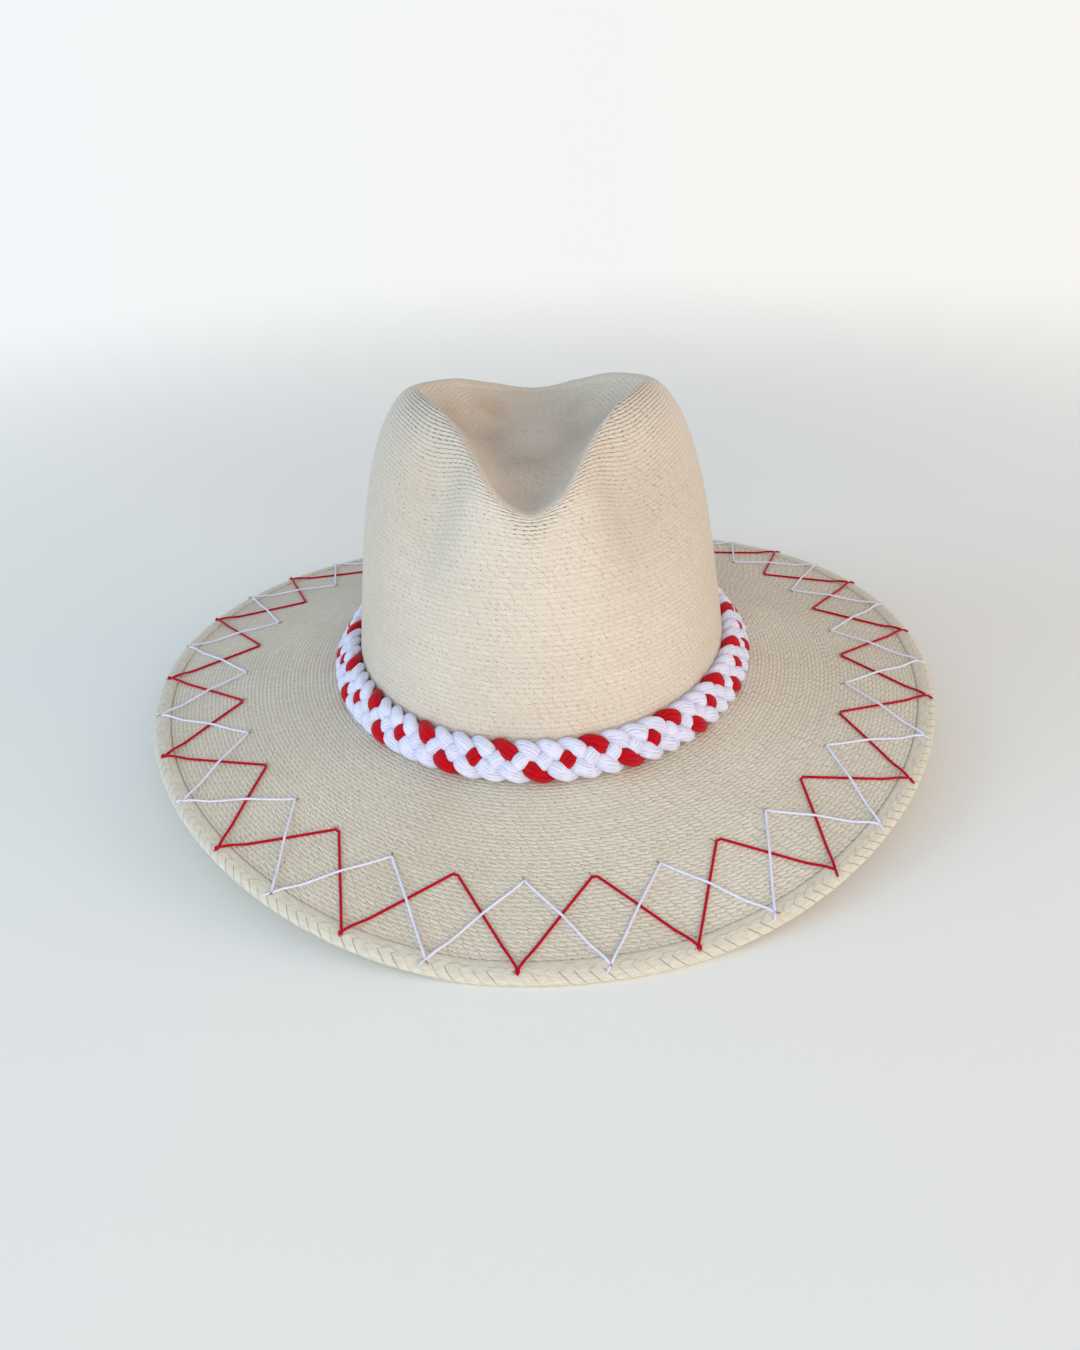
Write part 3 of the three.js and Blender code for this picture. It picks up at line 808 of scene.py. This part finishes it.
def make_knots(colour, slot):
    """Thread ends at the outer holes. The red thread has an egg-shaped knot that lies outwards from the
    hole, drawn out into a tail on the wearer's left side, and the white one has tails all round. A
    tail runs on in the line of the stitch on its left."""
    holes = zigzag_holes(colour)
    start = holes[:, 0]
    outward = unit(start)
    incoming = unit(start - holes[:, 1])
    tail = smooth_step(start[:, 0], *TAIL_FROM[colour])
    along = outward * (1 - tail[:, None]) + incoming * tail[:, None]
    length = between(KNOT["length"], TAIL["length"], tail)
    radius = between(KNOT["radius"], THREAD_RADIUS[colour], tail)
    fullness = between(KNOT["fullness"], TAIL["fullness"], tail)
    return spindles(f"thread_knots_{colour}", start, along, length, radius, fullness, 0 * tail,
                    KNOT["rings"], KNOT["sides"], slot)


def make_splinters():
    """Broken ends of straw round the holes: two at each, in directions that spread about outwards at the
    outer holes and about inwards at the inner ones."""
    dice = np.random.default_rng(SPLINTERS["seed"])
    holes = np.concatenate([zigzag_holes(colour)[:, (0, 1)] for colour in ("red", "white")])
    start = np.repeat(holes.reshape(-1, 2), SPLINTERS["each"], axis=0)
    count = len(start)
    away = np.tile(np.repeat([1.0, -1.0], SPLINTERS["each"]), len(holes))
    lean = dice.uniform(-1, 1, count) * SPLINTERS["spread"]
    angle = np.arctan2(start[:, 1], start[:, 0]) + lean
    along = away[:, None] * np.stack([np.cos(angle), np.sin(angle)], -1)
    length = dice.uniform(*SPLINTERS["length"], count)
    radius = dice.uniform(*SPLINTERS["radius"], count)
    rise = dice.uniform(*SPLINTERS["rise"], count)
    fullness = np.full(count, SPLINTERS["fullness"])
    return spindles("straw_splinters", start, along, length, radius, fullness, rise,
                    SPLINTERS["rings"], SPLINTERS["sides"], "palm_straw")


laced_red = make_thread("red", "red_cotton")
laced_white = make_thread("white", "white_cotton")
knots_red = make_knots("red", "red_cotton")
knots_white = make_knots("white", "white_cotton")
splinters = make_splinters()

# %% [markdown]
# ## Numbers in the shader
# A pattern of braid needs a good deal of arithmetic on the pattern coordinates. A small class keeps that
# readable: a Field is a number that the shader works out at each point of a surface, and adding or
# multiplying two of them puts the Math node in the material for us.

# %% Shader arithmetic
class Field:
    """A number worked out at each point of the surface, held as the output socket of a node."""

    def __init__(self, tree, socket):
        self.tree = tree
        self.socket = socket

    def math(self, operation, *others):
        """The result of a Math node that gets this number first and then the others."""
        node = self.tree.nodes.new("ShaderNodeMath")
        node.operation = operation
        for socket, value in zip(node.inputs, (self, *others)):
            plug(self.tree, socket, value)
        return Field(self.tree, node.outputs[0])

    def __add__(self, other):
        return self.math("ADD", other)

    def __sub__(self, other):
        return self.math("SUBTRACT", other)

    def __mul__(self, other):
        return self.math("MULTIPLY", other)

    def fraction(self):
        """What is left above the whole number."""
        return self.math("FRACT")

    def whole(self):
        """The whole number at or below this one."""
        return self.math("FLOOR")

    def size(self):
        """The number without its sign."""
        return self.math("ABSOLUTE")

    def power(self, exponent):
        return self.math("POWER", exponent)

    def largest(self, other):
        return self.math("MAXIMUM", other)

    def wave(self):
        return self.math("SINE")

    def ramp(self, start, end, low=0.0, high=1.0):
        """low up to start, high from end on, and a smooth curve between them."""
        node = self.tree.nodes.new("ShaderNodeMapRange")
        node.interpolation_type = "SMOOTHSTEP"
        for socket, value in zip(node.inputs[:5], (self, start, end, low, high)):
            plug(self.tree, socket, value)
        return Field(self.tree, node.outputs[0])


def plug(tree, socket, value):
    """Sets an input to a number or colour, or links it to a field or to another node's output."""
    if isinstance(value, Field):
        tree.links.new(value.socket, socket)
    elif isinstance(value, bpy.types.NodeSocket):
        tree.links.new(value, socket)
    else:
        socket.default_value = value


def parts_of(tree, vector):
    """The first two parts of a vector as fields."""
    split = tree.nodes.new("ShaderNodeSeparateXYZ")
    tree.links.new(vector, split.inputs[0])
    return Field(tree, split.outputs["X"]), Field(tree, split.outputs["Y"])


def pattern_fields(tree):
    """The two pattern coordinates of the surface as fields."""
    source = tree.nodes.new("ShaderNodeUVMap")
    source.uv_map = "pattern"
    return parts_of(tree, source.outputs["UV"])


def attribute_field(tree, name):
    """A number that was stored at the mesh's points, or 0 where the mesh has none of that name."""
    source = tree.nodes.new("ShaderNodeAttribute")
    source.attribute_name = name
    return Field(tree, source.outputs["Fac"])


def vector_of(tree, x, y, z=0.0):
    """A vector from three fields or numbers."""
    node = tree.nodes.new("ShaderNodeCombineXYZ")
    for socket, value in zip(node.inputs, (x, y, z)):
        plug(tree, socket, value)
    return node.outputs[0]


def chance(tree, x, y):
    """A random number from 0 to 1 that stays the same for equal x and y."""
    node = tree.nodes.new("ShaderNodeTexWhiteNoise")
    node.noise_dimensions = "2D"
    plug(tree, node.inputs["Vector"], vector_of(tree, x, y))
    return Field(tree, node.outputs["Value"])


def clouds(tree, vector, scale, detail=2.0):
    """Smooth noise about one half."""
    node = tree.nodes.new("ShaderNodeTexNoise")
    node.inputs["Scale"].default_value = scale
    node.inputs["Detail"].default_value = detail
    plug(tree, node.inputs["Vector"], vector)
    return Field(tree, node.outputs["Fac"])


def place_on_object(tree):
    """Object coordinates, in metres."""
    return tree.nodes.new("ShaderNodeTexCoord").outputs["Object"]


def linear(red, green, blue):
    """Colour for a shader from the values 0 to 255 that a screen would show."""
    value = np.array([red, green, blue]) / 255
    value = np.where(value <= 0.04045, value / 12.92, ((value + 0.055) / 1.055) ** 2.4)
    return (*value.tolist(), 1.0)


def blend(tree, share, first, second, mode="MIX"):
    """Mix of two colours by a share."""
    node = tree.nodes.new("ShaderNodeMix")
    node.data_type = "RGBA"
    node.blend_type = mode
    plug(tree, node.inputs["Factor"], share)
    plug(tree, node.inputs[6], first)
    plug(tree, node.inputs[7], second)
    return node.outputs[2]


def new_material(name, roughness, specular=0.3, sheen=0.0):
    """Material with a Principled shader and its constant finish. Returns the material, its tree and the
    shader."""
    material = bpy.data.materials.new(name)
    material.use_nodes = True
    shader = material.node_tree.nodes["Principled BSDF"]
    shader.inputs["Roughness"].default_value = roughness
    shader.inputs["Specular IOR Level"].default_value = specular
    shader.inputs["Sheen Weight"].default_value = sheen
    shader.inputs["Sheen Roughness"].default_value = 0.5
    print("material", name)
    return material, material.node_tree, shader


def relief(tree, shader, height, depth):
    """Bump from a height field, depth being the real height in metres of the value 1."""
    node = tree.nodes.new("ShaderNodeBump")
    node.inputs["Distance"].default_value = depth
    plug(tree, node.inputs["Height"], height)
    tree.links.new(node.outputs["Normal"], shader.inputs["Normal"])


# %% [markdown]
# ## Palm braid
# Seen close, each row is a braid of pale leaf strips. Along the seam to the next row runs a soft tan
# line, which breaks wherever a strip ends, because each strip lies a little askew. Fine cracks between
# the strips cross the rows at a slant, and small dark stitch holes sit in the seams. The first pattern
# coordinate is the way round in millimetres and the second counts rows, so the fraction of the second is
# the place within a row, and its whole part gives each row its own chances. Noise on the object
# coordinates keeps all of it from looking drawn with a ruler. Its scales are in waves per metre: the
# highest is the grain of the leaf, the lowest the slow change of tone over the hat. A draw number gives
# each use of chance its own luck.

# %% Braid material
STITCH_SPACING = 3.6
# One of these noises breaks the painted shade in the dent into patches.
NOISE_SCALE = {"wander": 45.0, "wobble": 420.0, "gaps": 300.0, "grain": 1500.0, "tone": 16.0, "shade_patches": 30.0}
DRAW = {"row": 3.0, "stitch": 11.0, "tint": 5.0}
SMOOTH_TOP_ROWS = (5.0, 1.0)
MIDDLE_BACK = {"half_width": (0.004, 0.02), "from": -0.042, "to": -0.012}
# Side of the dent where its painted shade turns browner.
BROWNER_SIDE = (-0.006, -0.022)


def braid_material(name, strip_length, slant, askew, looks):
    """Braid rows. The seam is where the row's fraction, tilted a little along each strip, is near 0. The
    cracks are where the way round plus a share of the row number is a whole number of strips. looks
    holds the colours, the strength of each mark and the depth of the relief in millimetres. The crease
    share deepens the seams and paints shade into them and into the stitch holes, the hollow share
    paints patchy shade over the dent, browner on the wearer's right, and the pinch share paints shade
    over the two pinch hollows. The brim has none of them, and there they read 0."""
    material, tree, shader = new_material(name, roughness=0.66, specular=0.22, sheen=0.05)
    around, row = pattern_fields(tree)
    place = place_on_object(tree)
    crease, hollow, pinch_shade = (attribute_field(tree, share) for share in ("crease", "hollow", "pinch_shade"))
    sideways, backwards = parts_of(tree, place)
    jitter = chance(tree, row.whole(), DRAW["row"]) * looks["jitter"]
    wander = clouds(tree, place, NOISE_SCALE["wander"], 3.0) * 3.0
    strips = around * (1 / strip_length) + row * slant + wander + jitter
    across = strips.fraction()
    wobble = (clouds(tree, place, NOISE_SCALE["wobble"]) - 0.5) * 0.22
    tilted = row + (across - 0.5) * askew + wobble
    number, within = tilted.whole(), tilted.fraction()
    outer = row.ramp(*(CROWN_ROWS - margin for margin in SMOOTH_TOP_ROWS), 1.0, 0.0)
    luck = chance(tree, strips.whole(), number) * outer
    middle = (within - 0.5).size() * 2
    # Near the rim's crease the seams are stronger: painted shade in the deeper seams.
    seam = middle.ramp(looks["seam_from"], 0.97) * (luck.ramp(0.0, 0.6, 0.5, 1.0) + crease) * outer
    gap = ((across - 0.5).size() * 2).ramp(0.86, 0.98)
    gap = gap * clouds(tree, place, NOISE_SCALE["gaps"]).ramp(0.4, 0.55)
    gap = gap * luck.ramp(0.1, 0.7, 0.25, 1.0) * outer
    stitch_place = around * (1 / STITCH_SPACING) + chance(tree, number, DRAW["stitch"]) * 7.0
    stitch = (stitch_place.fraction() - 0.5).size().ramp(0.04, 0.12, 1.0, 0.0) * middle.ramp(0.7, 0.9)
    stitch = stitch * chance(tree, stitch_place.whole(), number).ramp(0.3, 0.8)
    # Stitch holes darker near the crease: painted shade.
    stitch = stitch * (crease * 2.5 + 0.8) * outer
    grain = clouds(tree, place, NOISE_SCALE["grain"], 3.0)
    tint = luck * 0.1 + chance(tree, number, DRAW["tint"]) * 0.04
    tint = tint + clouds(tree, place, NOISE_SCALE["tone"], 3.0) * 0.42 + grain * 0.85
    colour = blend(tree, tint.ramp(0.4, 1.0), looks["dull"], looks["pale"])
    middle_back = sideways.size().ramp(*MIDDLE_BACK["half_width"], 1.0, 0.0)
    middle_back = middle_back * backwards.ramp(MIDDLE_BACK["from"], MIDDLE_BACK["to"])
    # Painted shade over the inside of the dent, in patches and left out at the middle of the back, browner
    # on the wearer's right.
    painted_shade = clouds(tree, place, NOISE_SCALE["shade_patches"], 3.0).ramp(0.42, 0.62, 0.35, 1.0)
    painted_shade = painted_shade * hollow * (middle_back * -1 + 1.0)
    browner_shade = blend(tree, sideways.ramp(*BROWNER_SIDE), looks["painted_shade"], looks["browner_shade"])
    colour = blend(tree, painted_shade * 0.45, colour, browner_shade)
    # Painted shade over the two pinch hollows.
    colour = blend(tree, pinch_shade * 0.3, colour, looks["painted_shade"])
    # Near the crease the seam colour turns to the crack colour: painted shade.
    shaded_seam_colour = blend(tree, crease, looks["seam"], looks["crack"])
    colour = blend(tree, seam * looks["seam_strength"], colour, shaded_seam_colour)
    colour = blend(tree, gap * looks["crack_strength"], colour, looks["crack"])
    colour = blend(tree, stitch * looks["stitch_strength"], colour, looks["stitch"])
    plug(tree, shader.inputs["Base Color"], colour)
    height = middle.power(4.0) * -1 - gap * 0.7 - stitch * 0.6 + luck * 0.2 + grain * 0.2
    relief(tree, shader, height * (crease * 1.5 + 1.0), looks["depth"] * MM)
    return material


# Two of these colours are painted shade: that of the dent and the pinches, and its browner form.
CROWN_LOOKS = {"dull": linear(203, 190, 175), "pale": linear(224, 213, 201), "seam": linear(216, 180, 132),
               "crack": linear(112, 94, 80), "stitch": linear(66, 54, 50), "painted_shade": linear(160, 146, 134),
               "browner_shade": linear(184, 138, 92), "seam_strength": 0.8, "seam_from": 0.77,
               "crack_strength": 0.45, "stitch_strength": 0.85, "jitter": 0.4, "depth": 0.06}
BRIM_LOOKS = {**CROWN_LOOKS, "dull": linear(208, 195, 175), "pale": linear(240, 230, 214),
              "seam": linear(138, 112, 92), "crack": linear(112, 98, 90), "stitch": linear(72, 60, 58),
              "seam_strength": 0.56, "seam_from": 0.75, "crack_strength": 0.5, "stitch_strength": 0.5,
              "depth": 0.09}
crown_straw = braid_material("palm_braid_crown", 3.6, 0.42, 0.22, CROWN_LOOKS)
brim_straw = braid_material("palm_braid_brim", 4.0, 0.35, 0.5, BRIM_LOOKS)
straw_crown.data.materials.append(crown_straw)
straw_brim.data.materials.append(brim_straw)

# %% [markdown]
# ## Binding straw
# The binding is smoother and paler than the braid. Its strips lie side by side along its inner half and
# cross in a herringbone over the edge, with a thin brown crack where one strip passes under the next. A
# faint scalloped line parts the two halves.

# %% Binding material
BINDING_FOLD = 5.4
BINDING_STRIP = 4.9
BINDING_CRACKS = [(4.0, 5.5, 1.7, 0.55), (5.2, 9.5, -1.1, 1.0), (10.5, 17.0, 0.9, 1.0)]
CRACK_WIDTH = 0.045
SCALLOP = {"at": 3.7, "height": 0.3, "half_width": 0.28}
BINDING_RELIEF = 0.25


def binding_material():
    """Herringbone: slanting cracks between the strips, drawn where the distance along the edge plus a
    share of the distance from the fold is a whole number of strips. Each band of cracks lies between
    two distances across the binding and leans its own way. The scalloped line is a sine wave."""
    material, tree, shader = new_material("palm_plait_binding", roughness=0.5, specular=0.35, sheen=0.04)
    around, run = pattern_fields(tree)
    place = place_on_object(tree)
    wander = clouds(tree, place, 70.0) * 2.2
    cracks = None
    for low, high, lean, strength in BINDING_CRACKS:
        spot = (around + (run - BINDING_FOLD) * lean + wander) * (1 / BINDING_STRIP)
        line = (spot.fraction() - 0.5).size().ramp(0.0, CRACK_WIDTH, 1.0, 0.0)
        zone = run.ramp(low - 0.3, low + 0.4) * run.ramp(high - 0.4, high + 0.3, 1.0, 0.0)
        line = line * zone * chance(tree, spot.whole(), low).ramp(0.0, 0.6, 0.3, 1.0) * strength
        cracks = line if cracks is None else cracks.largest(line)
    scallop = ((around + wander) * (TURN / BINDING_STRIP)).wave() * SCALLOP["height"] + run
    edge = (scallop - SCALLOP["at"]).size().ramp(0.0, SCALLOP["half_width"], 1.0, 0.0)
    edge = edge * clouds(tree, place, 150.0).ramp(0.35, 0.6)
    strand = (run * 0.9 + wander * 0.4).fraction()
    groove = ((strand - 0.5).size() * 2).ramp(0.82, 1.0) * run.ramp(3.0, 4.0, 1.0, 0.0)
    groove = (groove * clouds(tree, place, 220.0).ramp(0.45, 0.6)).largest(edge)
    tint = clouds(tree, vector_of(tree, around * 0.25, run * 1.4), 1.0, 3.0)
    colour = blend(tree, tint.ramp(0.25, 0.75), linear(209, 199, 181), linear(229, 219, 202))
    colour = blend(tree, groove * 0.3, colour, linear(150, 132, 112))
    colour = blend(tree, cracks * 0.7, colour, linear(126, 94, 64))
    plug(tree, shader.inputs["Base Color"], colour)
    relief(tree, shader, cracks * -1 - groove * 0.4 + tint * 0.3, BINDING_RELIEF * MM)
    return material


palm_binding.data.materials.append(binding_material())

# %% [markdown]
# ## Straw of the splinters
# Where a thread is pulled through, a little straw breaks, and its dry ends stand up beside the hole. They
# are browner than the braid, and their brown also paints the shade in the holes. They are too small for
# the braid's rows, so they get only the fibres of the straw. The streaks are noise on the pattern
# coordinates, stretched along each splinter.

# %% Splinter material
def splinter_material():
    """Dry fibres: streaks that run along each splinter, and a tint that changes slowly from one hole to
    the next."""
    material, tree, shader = new_material("splinter_straw", roughness=0.6)
    along, side = pattern_fields(tree)
    fibre = clouds(tree, vector_of(tree, along * 0.8, side * 8.0), 1.0, 3.0)
    tint = fibre * 0.6 + clouds(tree, place_on_object(tree), 240.0) * 0.4
    # The brown is partly the splinters' own colour and partly painted shade of the holes.
    colour = blend(tree, tint.ramp(0.38, 0.62), linear(146, 112, 76), linear(190, 160, 124))
    plug(tree, shader.inputs["Base Color"], colour)
    relief(tree, shader, fibre, 0.08 * MM)
    return material


splinters.data.materials.append(splinter_material())

# %% [markdown]
# ## Cotton
# The cords and threads are plied cotton: many fine yarns laid side by side and twisted a little. The
# yarns are the fraction of the place round the section plus a small share of the way along, and each yarn
# gets its own tint and a soft groove to its neighbours, darkened with painted shade. Fine noise gives the
# fuzz, and a little sheen the soft edge.

# %% Cotton material
def cotton_material(name, pale, deep, yarns, twist, depth):
    """Plied cotton: grooves between yarns that run along the cord with a slow twist. yarns is their
    number round the section, twist how many of them a millimetre of length turns past, and depth that
    of the grooves in millimetres."""
    material, tree, shader = new_material(name, roughness=0.9, specular=0.1, sheen=0.12)
    along, side = pattern_fields(tree)
    place = place_on_object(tree)
    lay = side * yarns + along * twist + clouds(tree, place, 200.0) * 1.6
    yarn = ((lay.fraction() - 0.5).size()) * 2
    luck = chance(tree, lay.whole(), 2.0)
    groove = yarn.ramp(0.6, 1.0) * clouds(tree, place, 330.0).ramp(0.35, 0.6, 0.25, 1.0)
    fuzz = clouds(tree, place, 3200.0, 2.0)
    # The grooves between yarns turn towards the deep colour as painted shade. The luck and fuzz are the
    # yarns' own tint.
    shade = groove * 0.55 + luck * 0.2 + fuzz * 0.3
    plug(tree, shader.inputs["Base Color"], blend(tree, shade.ramp(0.15, 1.0), pale, deep))
    relief(tree, shader, groove * -1 + luck * 0.3 + fuzz * 0.5, depth * MM)
    return material


# The second colour of each pair is the painted shade of the grooves and the darker yarns.
WHITE = (linear(230, 229, 249), linear(198, 198, 230))
RED = (linear(200, 4, 24), linear(116, 0, 8))
white_cotton = cotton_material("white_cotton_cord", *WHITE, yarns=17, twist=0.05, depth=0.2)
red_cotton = cotton_material("red_cotton_cord", *RED, yarns=13, twist=0.05, depth=0.35)
THREAD_WHITE = (linear(232, 232, 252), linear(208, 208, 238))
THREAD_RED = (linear(190, 4, 38), linear(140, 0, 20))
white_thread = cotton_material("white_cotton_thread", *THREAD_WHITE, yarns=3, twist=0.3, depth=0.05)
red_thread = cotton_material("red_cotton_thread", *THREAD_RED, yarns=3, twist=0.3, depth=0.05)
for cord, cotton in zip(cords, (red_cotton, white_cotton, white_cotton, white_cotton)):
    cord.data.materials.append(cotton)
for piece, cotton in zip((laced_red, laced_white, knots_red, knots_white), (red_thread, white_thread) * 2):
    piece.data.materials.append(cotton)

# %% [markdown]
# ## Floor and light
# The floor is one plain pale sheet. Its material thins out over the first metre or so from the hat's
# middle, so that no horizon line crosses the picture. The light is that of a bright room: most of it
# comes softly from all round, more of it from near the horizon than from above, one broad window stands
# low in front of the hat, and two weaker ones give the crown a cool left side and a warm right side.

# %% Floor
FLOOR_SIZE = 12
FLOOR_FADE = (0.3, 1.15)


def make_floor():
    """A level square under the hat that fades out by the distance from its middle."""
    half = FLOOR_SIZE / 2
    mesh = bpy.data.meshes.new("floor")
    corners = [(-half, -half, 0), (half, -half, 0), (half, half, 0), (-half, half, 0)]
    mesh.from_pydata(corners, [], [(0, 1, 2, 3)])
    floor = new_object("floor", mesh)
    material, tree, shader = new_material("pale_floor", roughness=0.9, specular=0.1)
    shader.inputs["Base Color"].default_value = linear(254, 251, 246)
    distance = tree.nodes.new("ShaderNodeVectorMath")
    distance.operation = "LENGTH"
    tree.links.new(place_on_object(tree), distance.inputs[0])
    plug(tree, shader.inputs["Alpha"], Field(tree, distance.outputs["Value"]).ramp(*FLOOR_FADE, 1.0, 0.0))
    mesh.materials.append(material)


make_floor()

# %% Lights
def area_light(name, place, size, power, colour, target=(0, 0, 0.06)):
    """Square lamp at a place in metres that faces the target."""
    data = bpy.data.lights.new(name, "AREA")
    data.size = size
    data.energy = power
    data.color = colour
    lamp = new_object(name, data)
    lamp.location = place
    lamp.rotation_euler = (Vector(target) - Vector(place)).to_track_quat("-Z", "Y").to_euler()
    print(f"{name}: {power} W")


area_light("front_window", (0.3, -2.0, 0.65), 1.8, 21, (1.0, 0.98, 0.94))
area_light("cool_window", (-1.8, -0.5, 0.8), 1.2, 14, (0.42, 0.76, 1.0))
area_light("warm_window", (1.8, -0.4, 0.8), 1.2, 7.5, (1.0, 0.8, 0.56))

SKY = {"horizon": (0.95, 0.96, 0.97, 1), "overhead": (0.37, 0.4, 0.46, 1),
       "left": (0.92, 0.97, 1.0, 1), "right": (1.0, 0.95, 0.87, 1)}
world = bpy.data.worlds.new("soft_room")
world.use_nodes = True
sky = world.node_tree
looking = sky.nodes.new("ShaderNodeSeparateXYZ")
sky.links.new(sky.nodes.new("ShaderNodeTexCoord").outputs["Generated"], looking.inputs[0])
upwards = Field(sky, looking.outputs["Z"]).ramp(0.05, 0.8)
sideways = Field(sky, looking.outputs["X"]).ramp(-1.0, 1.0)
light = blend(sky, upwards, SKY["horizon"], SKY["overhead"])
light = blend(sky, 1.0, light, blend(sky, sideways, SKY["left"], SKY["right"]), "MULTIPLY")
plug(sky, sky.nodes["Background"].inputs["Color"], light)
bpy.context.scene.world = world
bpy.context.scene.view_settings.view_transform = "Standard"
